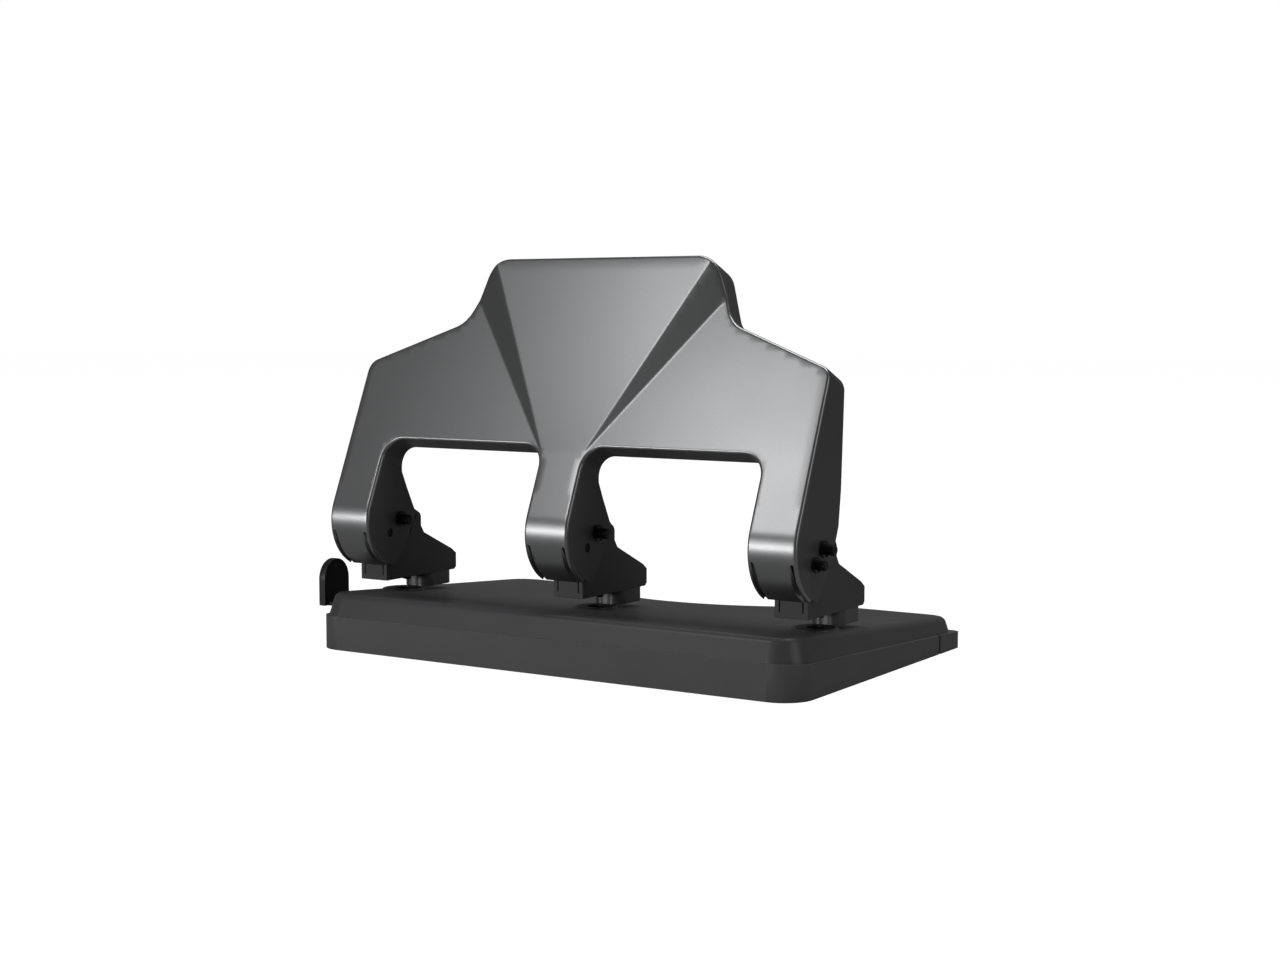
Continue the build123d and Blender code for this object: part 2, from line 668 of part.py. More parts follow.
# ---- handle frame: the dark shell behind the cover, with a cheek each side of every leg -------
# the wall over each opening runs back square to the face, and stops level with the back panel
wall_end_y = face_y(opening_top_z) + (opening_top_z - panel_bottom_z) / face_slope
opening_relief = [
    (-1.9, 59.0), (-5.0, 61.5), (-10.1, 71.6), (-13.5, 79.0), (wall_end_y, panel_bottom_z),
    (40.0, panel_bottom_z), (40.0, 50.0), (-1.9, 50.0),
]
with BuildPart() as back_panel:
    with BuildSketch(Plane.YZ):
        with BuildLine():
            outer = [(y, z) for y, z in handle_rear if z > 97.0]
            outer.append((rear_y(panel_bottom_z), panel_bottom_z))
            inner = [(y - frame_wall, z) for y, z in reversed(outer)]
            Polyline(*outer, *inner, close=True)
        make_face()
    extrude(amount=2 * handle_half_width, both=True)
    with BuildSketch(face_plane.offset(60)):
        add(handle_outline.sketch_local)
        offset(amount=-frame_wall / 2, mode=Mode.REPLACE)
    extrude(amount=-120, mode=Mode.INTERSECT)

with BuildPart() as handle_frame:
    with BuildSketch(face_plane.offset(60)):
        add(handle_outline.sketch_local)
    extrude(amount=-120)
    with BuildSketch(Plane.YZ):
        add(frame_side.sketch_local)
    extrude(amount=2 * handle_half_width, both=True, mode=Mode.INTERSECT)
    with BuildSketch(face_plane.offset(60)):
        add(handle_outline.sketch_local)
        offset(amount=-frame_wall, mode=Mode.REPLACE)
    extrude(amount=-120, mode=Mode.SUBTRACT)
    with BuildSketch(Plane.YZ):
        with BuildLine():
            Polyline(*opening_relief, close=True)
        make_face()
    extrude(amount=leg_inner_x + frame_wall + 0.05, both=True, mode=Mode.SUBTRACT)
    add(back_panel.part)
    with BuildSketch(Plane.YZ):
        with Locations((wall_end_y, panel_bottom_z)):
            Rectangle(rear_y(panel_bottom_z) - wall_end_y, frame_wall,
                      align=(Align.MIN, Align.MIN))
    extrude(amount=leg_inner_x + 1.0, both=True)
    with BuildSketch(Plane.YZ):
        with Locations((pivot_y, pivot_z)):
            Circle(pivot_radius + running_gap)
        with Locations((pivot_y + stop_y, pivot_z + stop_z)):
            Circle(stop_pin_radius + 0.01)
    extrude(amount=2 * handle_half_width, both=True, mode=Mode.SUBTRACT)
    for name in leg_names:
        with BuildSketch(Plane.YZ.offset(leg_x[name])):
            with Locations((drive_y, drive_z)):
                Circle(drive_pin_radius + 0.01)
        extrude(amount=drive_pin_half + 0.02, both=True, mode=Mode.SUBTRACT)
    for x, z in cover_screw_spots:
        with BuildSketch(Plane.XZ.offset(-rear_y(z) - 3)):
            with Locations((x, z)):
                Circle(1.7)
        extrude(amount=8.0, mode=Mode.SUBTRACT)
save(handle_frame.part, "handle_frame")

with BuildPart() as cover_screws:
    for x, z in cover_screw_spots:
        with BuildSketch(Plane.XZ.offset(-rear_y(z) - 2.0)):
            with Locations((x, z)):
                Circle(3.0)
                Rectangle(3.4, 0.7, mode=Mode.SUBTRACT)
                Rectangle(0.7, 3.4, mode=Mode.SUBTRACT)
        extrude(amount=1.1)
        with BuildSketch(Plane.XZ.offset(-rear_y(z) - 0.95)):
            with Locations((x, z)):
                Circle(3.0)
        extrude(amount=0.7)
        with BuildSketch(Plane.XZ.offset(-rear_y(z) - 0.25)):
            with Locations((x, z)):
                Circle(1.2)
        extrude(amount=10.0)
save(cover_screws.part, "cover_screws")
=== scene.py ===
import json
import logging
import math
from dataclasses import dataclass, field
from enum import Enum
from typing import Iterable, Sequence

import bmesh
import bpy
import numpy as np
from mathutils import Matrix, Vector
from mathutils.geometry import delaunay_2d_cdt


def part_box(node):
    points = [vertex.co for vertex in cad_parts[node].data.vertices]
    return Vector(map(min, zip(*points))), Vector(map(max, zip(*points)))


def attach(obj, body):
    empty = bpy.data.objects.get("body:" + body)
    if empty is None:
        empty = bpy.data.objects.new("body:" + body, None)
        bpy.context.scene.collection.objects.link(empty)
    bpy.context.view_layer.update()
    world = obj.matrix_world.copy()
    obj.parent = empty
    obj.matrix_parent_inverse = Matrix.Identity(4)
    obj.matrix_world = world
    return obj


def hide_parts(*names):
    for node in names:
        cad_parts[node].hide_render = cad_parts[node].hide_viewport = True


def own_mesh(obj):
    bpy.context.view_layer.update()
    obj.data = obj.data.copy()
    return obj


# Looks of a three-hole lever punch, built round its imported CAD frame. Metres, +Z up, the same
# frame as the CAD: X along the base, Y = 0 on the line of the dies, paper entering from -Y.

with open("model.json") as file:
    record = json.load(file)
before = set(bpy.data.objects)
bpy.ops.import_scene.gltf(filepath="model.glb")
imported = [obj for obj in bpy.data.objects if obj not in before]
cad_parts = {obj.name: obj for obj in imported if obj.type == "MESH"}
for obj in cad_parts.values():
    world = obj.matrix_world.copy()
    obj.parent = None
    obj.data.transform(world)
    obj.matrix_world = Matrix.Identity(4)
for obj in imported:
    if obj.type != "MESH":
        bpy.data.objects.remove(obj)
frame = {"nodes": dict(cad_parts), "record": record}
log = logging.getLogger("punch_scene")
MM = 0.001
Point = tuple[float, float]


class Body(str, Enum):
    """The rigid bodies that the new pieces ride on."""

    BASE = "base"
    HANDLE = "handle"


class Slot(str, Enum):
    """The record's material slots."""

    SILVER = "silver_paint"
    CHARCOAL = "charcoal_paint"
    BASE = "base_paint"
    PLASTIC = "black_plastic"
    GUIDE = "guide_plastic"
    BRACKET = "bracket_paint"
    STEEL = "bright_steel"
    BLACK_STEEL = "blackened_steel"


LEGS = ("left", "centre", "right")


# ---- colour and node helpers ---------------------------------------------------------------


def linear(hex_colour: str) -> tuple[float, float, float, float]:
    """Turn an sRGB hex colour into linear RGBA.

    Args:
        hex_colour: Six hexadecimal digits, with or without a leading hash.

    Returns:
        The linear colour with alpha 1.
    """
    digits = hex_colour.lstrip("#")
    channels = []
    for start in (0, 2, 4):
        value = int(digits[start:start + 2], 16) / 255
        channels.append(value / 12.92 if value <= 0.04045 else ((value + 0.055) / 1.055) ** 2.4)
    return (channels[0], channels[1], channels[2], 1.0)


def add_node(tree: bpy.types.NodeTree, kind: str, inputs: dict | None = None,
             **settings) -> bpy.types.Node:
    """Add a node, set its properties and fill its sockets.

    Args:
        tree: The node tree to add to.
        kind: The node's type name.
        inputs: Socket name or index to a plain value or to another node's output socket.
        **settings: Properties set on the node itself.

    Returns:
        The new node.
    """
    node = tree.nodes.new(kind)
    for name, value in settings.items():
        setattr(node, name, value)
    for key, value in (inputs or {}).items():
        if isinstance(value, bpy.types.NodeSocket):
            tree.links.new(value, node.inputs[key])
        else:
            node.inputs[key].default_value = value
    return node


# ---- finishes ------------------------------------------------------------------------------


CLOUD_MM = 38  # size of the broad patches over which a surface's gloss drifts


@dataclass(frozen=True)
class Finish:
    """A surface finish with fine grain in its colour, roughness and relief.

    Attributes:
        name: Name of the material.
        colour: sRGB hex colour of the surface.
        metallic: 0 for paint and plastic, 1 for bare metal.
        roughness: Mean roughness.
        grain_mm: Size of the grain, in millimetres.
        relief_mm: Depth of the grain's relief, in millimetres.
        roughness_swing: How far the roughness varies to each side of its mean.
        colour_swing: How far the colour's brightness varies, as a fraction.
        streak: Stretch of the grain along X, 1 for an even grain.
    """

    name: str
    colour: str
    metallic: float = 0.0
    roughness: float = 0.45
    grain_mm: float = 0.6
    relief_mm: float = 0.01
    roughness_swing: float = 0.05
    colour_swing: float = 0.04
    streak: float = 1.0

    def material(self) -> bpy.types.Material:
        """Build the finish as a procedural material.

        Returns:
            The material, made once per name.
        """
        known = bpy.data.materials.get(self.name)
        if known is not None and known.get("made_here"):
            return known
        material = bpy.data.materials.new(self.name)
        material["made_here"] = True
        material.use_nodes = True
        tree = material.node_tree
        tree.nodes.clear()
        place = add_node(tree, "ShaderNodeTexCoord").outputs["Object"]
        scaled = add_node(tree, "ShaderNodeMapping",
                          {"Vector": place, "Scale": (1 / self.streak, 1.0, 1.0)}).outputs["Vector"]
        grain = add_node(tree, "ShaderNodeTexNoise",
                         {"Vector": scaled, "Scale": 1 / (self.grain_mm * MM), "Detail": 3.0,
                          "Roughness": 0.6})
        cloud = add_node(tree, "ShaderNodeTexNoise",
                         {"Vector": place, "Scale": 1 / (CLOUD_MM * MM), "Detail": 2.0})
        rough = add_node(tree, "ShaderNodeMapRange",
                         {"Value": cloud.outputs["Fac"], "From Min": 0.3, "From Max": 0.7,
                          "To Min": self.roughness - self.roughness_swing,
                          "To Max": self.roughness + self.roughness_swing})
        tone = add_node(tree, "ShaderNodeMapRange",
                        {"Value": grain.outputs["Fac"], "From Min": 0.3, "From Max": 0.7,
                         "To Min": 1 - self.colour_swing, "To Max": 1 + self.colour_swing})
        colour = add_node(tree, "ShaderNodeVectorMath",
                          {0: linear(self.colour)[:3], "Scale": tone.outputs["Result"]},
                          operation="SCALE")
        bump = add_node(tree, "ShaderNodeBump",
                        {"Height": grain.outputs["Fac"], "Strength": 1.0,
                         "Distance": self.relief_mm * MM})
        shader = add_node(tree, "ShaderNodeBsdfPrincipled",
                          {"Base Color": colour.outputs["Vector"], "Metallic": self.metallic,
                           "Roughness": rough.outputs["Result"], "Normal": bump.outputs["Normal"]})
        add_node(tree, "ShaderNodeOutputMaterial", {"Surface": shader.outputs["BSDF"]})
        return material


# Grain sizes are coarser than real flake or powder, so that they show at all.
FINISHES: dict[Slot, Finish] = {
    # sprayed metallic lacquer: a broad soft highlight, with fine flake in it
    Slot.SILVER: Finish("satin silver metallic paint", "#9b9c9d", metallic=0.9, roughness=0.295,
                        grain_mm=0.35, relief_mm=0.0012, roughness_swing=0.01,
                        colour_swing=0.05),
    # stoved paint on the handle's frame: dark, with a blurred sheen along bends
    Slot.CHARCOAL: Finish("satin charcoal paint", "#515152", roughness=0.42, grain_mm=0.5,
                          relief_mm=0.004),
    # the same paint a shade glossier, which lights up the base's rounded lip
    Slot.BASE: Finish("satin dark grey base paint", "#555557", roughness=0.34, grain_mm=0.5,
                      relief_mm=0.004, roughness_swing=0.03),
    # moulded tray with a spark-eroded grain, which keeps it matt
    Slot.PLASTIC: Finish("fine-grained black plastic", "#626264", roughness=0.52, grain_mm=0.4,
                         relief_mm=0.012),
    # smoother moulding, darker than the tray
    Slot.GUIDE: Finish("smooth black plastic", "#1c1c1d", roughness=0.4, grain_mm=0.5,
                       relief_mm=0.004),
    # thin black paint on folded sheet
    Slot.BRACKET: Finish("satin black bracket paint", "#434344", roughness=0.4, grain_mm=0.45,
                         relief_mm=0.004),
    # bright metal with grinding marks along X
    Slot.STEEL: Finish("ground steel", "#b5b6b8", metallic=1.0, roughness=0.28, grain_mm=0.12,
                       relief_mm=0.002, streak=12.0),
    # chemically blackened pins and dies: near black, still metallic
    Slot.BLACK_STEEL: Finish("black oxide steel", "#2a2a2c", metallic=0.7, roughness=0.38,
                             grain_mm=0.2, relief_mm=0.003),
}


# ---- mesh helpers --------------------------------------------------------------------------


def new_object(name: str, vertices: Iterable[Sequence[float]],
               faces: Iterable[Sequence[int]]) -> bpy.types.Object:
    """Make a mesh object at the origin.

    Args:
        name: Name of the object.
        vertices: Points in metres.
        faces: Vertex numbers of each face.

    Returns:
        The linked object.
    """
    mesh = bpy.data.meshes.new(name)
    mesh.from_pydata([tuple(point) for point in vertices], [], [tuple(face) for face in faces])
    mesh.validate()
    shape = bpy.data.objects.new(name, mesh)
    bpy.context.scene.collection.objects.link(shape)
    return shape


def settle(shape: bpy.types.Object, sharp_degrees: float = 35.0) -> bpy.types.Object:
    """Turn an object's modifiers into plain mesh and shade it.

    Args:
        shape: The object, whose modifiers are used up.
        sharp_degrees: Edges steeper than this stay sharp.

    Returns:
        The same object.
    """
    graph = bpy.context.evaluated_depsgraph_get()
    mesh = bpy.data.meshes.new_from_object(shape.evaluated_get(graph))
    mesh.name = shape.name
    shape.modifiers.clear()
    shape.data = mesh
    work = bmesh.new()
    work.from_mesh(mesh)
    bmesh.ops.remove_doubles(work, verts=work.verts, dist=0.5e-6)
    bmesh.ops.recalc_face_normals(work, faces=work.faces)
    work.to_mesh(mesh)
    work.free()
    mesh.polygons.foreach_set("use_smooth", [True] * len(mesh.polygons))
    mesh.set_sharp_from_angle(angle=math.radians(sharp_degrees))
    return shape


def turned(name: str, profile: Sequence[tuple[float, float]], sides: int = 40) -> bpy.types.Object:
    """Turn a closed profile round the X axis.

    Args:
        name: Name of the object.
        profile: (x, radius) points in metres; the first and last lie on the axis.
        sides: Number of segments round the axis.

    Returns:
        The turned object.
    """
    points = [(x, 0.0, radius) for x, radius in profile]
    shape = new_object(name, points, [])
    mesh = shape.data
    work = bmesh.new()
    work.from_mesh(mesh)
    work.verts.ensure_lookup_table()
    edges = [work.edges.new((work.verts[i], work.verts[i + 1])) for i in range(len(points) - 1)]
    bmesh.ops.spin(work, geom=list(work.verts) + edges, cent=(0, 0, 0), axis=(1, 0, 0),
                   angle=math.tau, steps=sides)
    bmesh.ops.remove_doubles(work, verts=work.verts, dist=1e-7)
    bmesh.ops.recalc_face_normals(work, faces=work.faces)
    work.to_mesh(mesh)
    work.free()
    return shape


def finish_piece(shape: bpy.types.Object, body: Body, slot: Slot, *nodes: str) -> None:
    """Give a piece its finish, its body and the CAD nodes it stands for.

    Args:
        shape: The finished piece.
        body: The body it rides on.
        slot: Its material slot.
        *nodes: CAD nodes that it replaces.
    """
    shape.data.materials.clear()
    shape.data.materials.append(FINISHES[slot].material())
    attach(shape, body.value)
    if nodes:
        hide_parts(*nodes)


# ---- repeats by Geometry Nodes -------------------------------------------------------------


@dataclass
class RepeatAlongX:
    """Geometry Nodes that place one shape at even steps along X.

    Attributes:
        count: Number of copies.
        pitch: Step between copies, in metres.
        centre: Middle of the row, in metres.
    """

    count: int
    pitch: float
    centre: tuple[float, float, float]

    def _group(self) -> bpy.types.NodeTree:
        """Build the node group with its named inputs.

        Returns:
            The node group.
        """
        group = bpy.data.node_groups.new("repeat_along_x", "GeometryNodeTree")
        for label, kind, way in (("Geometry", "NodeSocketGeometry", "INPUT"),
                                 ("Count", "NodeSocketInt", "INPUT"),
                                 ("Pitch", "NodeSocketFloat", "INPUT"),
                                 ("Start", "NodeSocketVector", "INPUT"),
                                 ("Material", "NodeSocketMaterial", "INPUT"),
                                 ("Geometry", "NodeSocketGeometry", "OUTPUT")):
            group.interface.new_socket(name=label, in_out=way, socket_type=kind)
        entry = add_node(group, "NodeGroupInput")
        step = add_node(group, "ShaderNodeCombineXYZ", {"X": entry.outputs["Pitch"]})
        line = add_node(group, "GeometryNodeMeshLine",
                        {"Count": entry.outputs["Count"],
                         "Start Location": entry.outputs["Start"],
                         "Offset": step.outputs["Vector"]})
        copies = add_node(group, "GeometryNodeInstanceOnPoints",
                          {"Points": line.outputs["Mesh"],
                           "Instance": entry.outputs["Geometry"]})
        real = add_node(group, "GeometryNodeRealizeInstances",
                        {"Geometry": copies.outputs["Instances"]})
        painted = add_node(group, "GeometryNodeSetMaterial",
                           {"Geometry": real.outputs["Geometry"],
                            "Material": entry.outputs["Material"]})
        add_node(group, "NodeGroupOutput", {"Geometry": painted.outputs["Geometry"]})
        return group

    def apply(self, shape: bpy.types.Object, slot: Slot) -> bpy.types.Object:
        """Replace a shape by its row of copies.

        Args:
            shape: The shape to repeat, built round the origin.
            slot: Material slot of the copies.

        Returns:
            The same object, now holding every copy.
        """
        group = self._group()
        modifier = shape.modifiers.new("repeat", "NODES")
        modifier.node_group = group
        start = Vector(self.centre) - Vector(((self.count - 1) * self.pitch / 2, 0, 0))
        values = {"Count": self.count, "Pitch": self.pitch, "Start": start,
                  "Material": FINISHES[slot].material()}
        for item in group.interface.items_tree:
            if item.in_out == "INPUT" and item.name in values:
                modifier[item.identifier] = values[item.name]
        return settle(shape)


# ---- handle cover --------------------------------------------------------------------------


@dataclass
class HandleCover:
    """The bright sheet that wraps the handle's front and its three noses.

    The sheet is laid out flat in (x, t): above the tangent line t is the height z, and below
    it t runs down round the nose as arc length. All sizes are in millimetres.

    Attributes:
        lean: Lean of the face from the vertical, in radians.
        leg_half: Half the width of a leg.
        neck_half: Half the width of the top edge.
        neck_root: (x, z) of the hollow corner where neck meets shoulder.
        shoulder_z: Height of the shoulder's outer corner.
        opening_z: Height of the openings' top edge.
        rim_round: Radius of the rolled rim.
        rim_depth: Depth of the rim behind the face, along Y.
        skin: Thickness of the sheet.
        nose_end: Angle round the pivot where the nose's skin ends, in degrees.
        shoulder_round: Radius of the shoulder's outer corner.
        neck_round: Radius of the corners at the neck's top and root.
        opening_round: Radius of the openings' upper corners.
        slot_centre: Distance of a relief slot from its leg's centre.
        slot_width: Width of a relief slot.
        slot_start: Angle round the pivot where a relief slot starts, in degrees.
        panel_low: (x, z) of the raised panel's lower corner.
        panel_high: (x, z) of its upper corner.
        panel_raise: How far the panel stands out at its upper corner.
        crease: (x, z) where the facet beside the panel dies into the wing.
        crease_soft: Height over which a crease is eased.
        roll: Number of mesh steps across the rolled rim.
        pitch: Distance between neighbouring legs.
        half: Half the width of the handle.
        top: Height of the top edge before the panel lifts it.
        pivot: (y, z) of the pivot.
        radius: Outer radius of a nose.
        tangent: Height where the flat face runs into the noses.
    """

    lean: float = math.atan(0.43)
    leg_half: float = 11.0
    neck_half: float = 57.5
    neck_root: tuple[float, float] = (69.0, 147.3)
    shoulder_z: float = 129.0
    opening_z: float = 94.9
    rim_round: float = 1.25
    rim_depth: float = 1.65
    skin: float = 1.3
    nose_end: float = 243.6
    shoulder_round: float = 6.0
    neck_round: float = 13.0
    opening_round: float = 9.0
    slot_centre: float = 8.9
    slot_width: float = 1.6
    slot_start: float = 190.2
    panel_low: tuple[float, float] = (10.3, 91.3)
    panel_high: tuple[float, float] = (55.7, 173.0)
    panel_raise: float = 5.4
    crease: tuple[float, float] = (64.2, 157.2)
    crease_soft: float = 0.12
    roll: int = 5
    pitch: float = field(init=False)
    half: float = field(init=False)
    top: float = field(init=False)
    pivot: tuple[float, float] = field(init=False)
    radius: float = field(init=False)
    tangent: float = field(init=False)

    def __post_init__(self) -> None:
        """Read the sizes that the CAD frame sets."""
        low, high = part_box("handle_cover")
        pins = [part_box(f"punch_pin_{name}") for name in LEGS]
        self.pitch = (pins[2][0][0] - pins[0][0][0]) / 2 / MM
        self.half = high[0] / MM
        rate = self.panel_raise / (self.panel_high[1] - self.panel_low[1])
        proud = rate * (high[2] / MM - self.panel_low[1]) * math.cos(self.lean)
        self.top = high[2] / MM - proud * math.sin(self.lean) - 0.1
        swing = next(j for j in frame["record"]["behaviour"]["joints"]
                     if j["name"] == "handle_swing")
        self.pivot = (swing["pos_m"][1] / MM, swing["pos_m"][2] / MM)
        self.radius = self.pivot[0] - low[1] / MM
        self.tangent = self.pivot[1] + self.radius * math.sin(self.lean)

    def _arc_t(self, degrees: float) -> float:
        """Layout height of an angle round the nose.

        Args:
            degrees: Angle round the pivot from the rear, over the top.

        Returns:
            The layout coordinate t.
        """
        return self.tangent - self.radius * (math.radians(degrees) - (math.pi - self.lean))

    def _face_y(self, z: np.ndarray) -> np.ndarray:
        """Y of the leaning face at each height."""
        start_y = self.pivot[0] - self.radius * math.cos(self.lean)
        return start_y + (z - self.tangent) * math.tan(self.lean)

    def _inward(self, t: np.ndarray) -> np.ndarray:
        """Angle below +Y of the direction into the sheet, at each t."""
        round_nose = (self.tangent - t) / self.radius
        return np.where(t >= self.tangent, self.lean, self.lean - round_nose)

    def _rim_depth(self, t: np.ndarray) -> np.ndarray:
        """Depth of the rim behind the outer skin, at each t."""
        off = self.lean - self._inward(t)
        square = self.rim_depth * math.cos(self.lean)
        bend = self.radius - (self.radius - square) / np.maximum(np.cos(off), 0.2)
        depth = np.where(t >= self.tangent, square, bend)
        thinnest = self.skin + 0.1
        return np.maximum(depth, thinnest)

    def _roll_radius(self, t: np.ndarray) -> np.ndarray:
        """Radius of the rolled edge, at each t."""
        return np.minimum(self.rim_round, 0.86 * self._rim_depth(t))

    def _raise(self, x: np.ndarray, z: np.ndarray) -> np.ndarray:
        """How far the middle panel and its facets stand out of the face."""
        (x0, z0), (x1, z1), (x2, z2) = self.panel_low, self.panel_high, self.crease
        rate = self.panel_raise / (z1 - z0)
        panel = rate * (z - z0)
        across = self.panel_raise / ((x1 - x0) - (z1 - z0) * (x2 - x0) / (z2 - z0))
        along = -across * (x2 - x0) / (z2 - z0)
        facet = across * (np.abs(x) - x0) + along * (z - z0)
        soft = self.crease_soft
        near = np.maximum(soft - np.abs(panel - facet), 0) / soft
        lower = np.minimum(panel, facet) - near * near * soft / 4
        near = np.maximum(soft - np.abs(lower), 0) / soft
        return np.maximum(lower, 0) + near * near * soft / 4

    def _corner(self, before: Point, corner: Point, after: Point,
                radius: float) -> list[Point]:
        """Round one corner of the outline.

        Args:
            before: Point before the corner.
            corner: The sharp corner.
            after: Point after the corner.
            radius: Radius of the round.

        Returns:
            Points along the round.
        """
        a = (Vector(before) - Vector(corner)).normalized()
        b = (Vector(after) - Vector(corner)).normalized()
        half = a.angle(b) / 2
        reach = radius / math.tan(half)
        middle = Vector(corner) + (a + b).normalized() * radius / math.sin(half)
        first = Vector(corner) + a * reach - middle
        last = Vector(corner) + b * reach - middle
        longest_step = 0.9
        steps = max(4, int(first.angle(last) * radius / longest_step))
        turn = first.angle_signed(last)
        points = []
        for step in range(steps + 1):
            arm = first.copy()
            angle = -turn * step / steps
            arm = Vector((arm.x * math.cos(angle) - arm.y * math.sin(angle),
                          arm.x * math.sin(angle) + arm.y * math.cos(angle)))
            points.append(tuple(middle + arm))
        return points

    def _rows(self) -> list[float]:
        """Layout heights of the closely spaced rows that bend round the noses."""
        low = self._arc_t(self.nose_end)
        high = self.tangent + 8.0
        row_step = 1.15
        count = int((high - low) / row_step)
        return [low + (high - low) * step / count for step in range(count + 1)]

    def _spread(self, path: list[Point], step: float) -> list[Point]:
        """Add points to a path so that none of its straight runs is longer than step."""
        spaced = [path[0]]
        for start, end in zip(path, path[1:]):
            length = math.dist(start, end)
            parts = max(1, math.ceil(length / step))
            for part in range(1, parts + 1):
                share = part / parts
                spaced.append((start[0] + (end[0] - start[0]) * share,
                               start[1] + (end[1] - start[1]) * share))
        return spaced

    def _rims(self) -> list[list[Point]]:
        """Rim lines of the layout: the outer one and one round each opening.

        Returns:
            Open paths that start and end on the noses' lower edge, with the sheet to the left.
        """
        rows = self._rows()
        top_row = rows[-1]
        inner = self.pitch - self.leg_half
        right = [(self.half, t) for t in rows]
        shoulder = (self.half, self.shoulder_z)
        neck = (self.neck_half, self.top)
        below = (self.half, top_row)
        corners = (self._corner(below, shoulder, self.neck_root, self.shoulder_round)
                   + self._corner(shoulder, self.neck_root, neck, self.neck_round)
                   + self._corner(self.neck_root, neck, (0, self.top), self.neck_round))
        rim_step = 2.5
        half_path = self._spread([right[-1]] + corners + [(0.0, self.top)], rim_step)
        right_side = right[:-1] + half_path
        outer = right_side + [(-x, t) for x, t in reversed(right_side[:-1])]
        rims = [outer]
        for middle in (-self.pitch / 2, self.pitch / 2):
            a = middle - (inner - self.leg_half) / 2
            b = middle + (inner - self.leg_half) / 2
            first, last = (a, self.opening_z), (b, self.opening_z)
            over = (self._corner((a, top_row), first, last, self.opening_round)
                    + self._corner(first, last, (b, top_row), self.opening_round))
            path = self._spread([(a, top_row)] + over + [(b, top_row)], rim_step)
            rims.append([(a, t) for t in rows[:-1]] + path + [(b, t) for t in reversed(rows[:-1])])
        return rims

    def _nose_edge(self, start: Point, middle: float) -> list[Point]:
        """Lower edge of one nose, with its two relief slots, from left to right.

        Args:
            start: Its left end.
            middle: X of the leg's centre.

        Returns:
            The points between its two ends.
        """
        low = start[1]
        high = self._arc_t(self.slot_start)
        points = []
        for side in (-1, 1):
            near = middle + side * self.slot_centre - self.slot_width / 2
            far = near + self.slot_width
            radius = self.slot_width / 2
            steps = 8
            points.append((near, low))
            points.append((near, high - radius))
            for step in range(1, steps):
                angle = math.pi - math.pi * step / steps
                points.append((near + radius + radius * math.cos(angle),
                               high - radius + radius * math.sin(angle)))
            points.append((far, high - radius))
            points.append((far, low))
        return points

    def _inside(self, points: np.ndarray, loop: np.ndarray) -> np.ndarray:
        """Tell which points lie inside a closed loop."""
        x, t = points[:, 0][:, None], points[:, 1][:, None]
        x0, t0 = loop[:, 0][None], loop[:, 1][None]
        x1, t1 = np.roll(loop[:, 0], -1)[None], np.roll(loop[:, 1], -1)[None]
        spans = (t0 > t) != (t1 > t)
        slope = np.where(t1 == t0, 1e-9, t1 - t0)
        crosses = spans & (x < x0 + (t - t0) * (x1 - x0) / slope)
        return crosses.sum(axis=1) % 2 == 1

    def _distance(self, points: np.ndarray, paths: list[list[Point]]) -> np.ndarray:
        """Distance of each point to the nearest of some paths."""
        nearest = np.full(len(points), 1e9)
        for path in paths:
            line = np.array(path)
            for start, end in zip(line[:-1], line[1:]):
                run = end - start
                share = np.clip(((points - start) @ run) / max(run @ run, 1e-12), 0, 1)
                gap = points - start - share[:, None] * run
                nearest = np.minimum(nearest, np.hypot(gap[:, 0], gap[:, 1]))
        return nearest

    def _layout(self) -> tuple[np.ndarray, list[tuple[int, ...]], list[list[Point]], np.ndarray]:
        """Triangulate the flat layout.

        Returns:
            Its points, its triangles, the rim lines, and how deep the rolled rim lays each
            point behind the outer skin.
        """
        rims = self._rims()
        outer, left, right = rims
        loop = outer + self._nose_edge(outer[-1], -self.pitch) + left
        loop += self._nose_edge(left[-1], 0.0) + right
        loop += self._nose_edge(right[-1], self.pitch)
        points = [Vector(p) for p in loop]
        edges = [(i, (i + 1) % len(loop)) for i in range(len(loop))]
        for path in rims:
            line = np.array(path)
            ahead = np.gradient(line, axis=0)
            normal = np.stack([-ahead[:, 1], ahead[:, 0]], axis=1)
            normal /= np.linalg.norm(normal, axis=1)[:, None]
            normal[0] = (round(normal[0][0]), 0)
            normal[-1] = (round(normal[-1][0]), 0)
            roll = self._roll_radius(line[:, 1])
            for step in range(1, self.roll + 1):
                inset = roll * (1 - math.cos(math.pi / 2 * step / self.roll))
                ring = line + normal * inset[:, None]
                first = len(points)
                points += [Vector(p) for p in ring]
                edges += [(first + i, first + i + 1) for i in range(len(ring) - 1)]
        ridges = self._ridges()
        for ridge in ridges:
            first = len(points)
            points += [Vector(p) for p in ridge]
            edges += [(first + i, first + i + 1) for i in range(len(ridge) - 1)]
        fill = self._fill(np.array(loop), rims, ridges)
        points += [Vector(p) for p in fill]
        made = delaunay_2d_cdt(points, edges, [], 1, 1e-5)
        flat = np.array([tuple(p) for p in made[0]])
        gap = self._distance(flat, rims)
        roll = self._roll_radius(flat[:, 1])
        short = np.clip(1 - gap / roll, 0, 1)
        depth = roll * (1 - np.sqrt(np.maximum(1 - short * short, 0)))
        return flat, [tuple(face) for face in made[2]], rims, depth

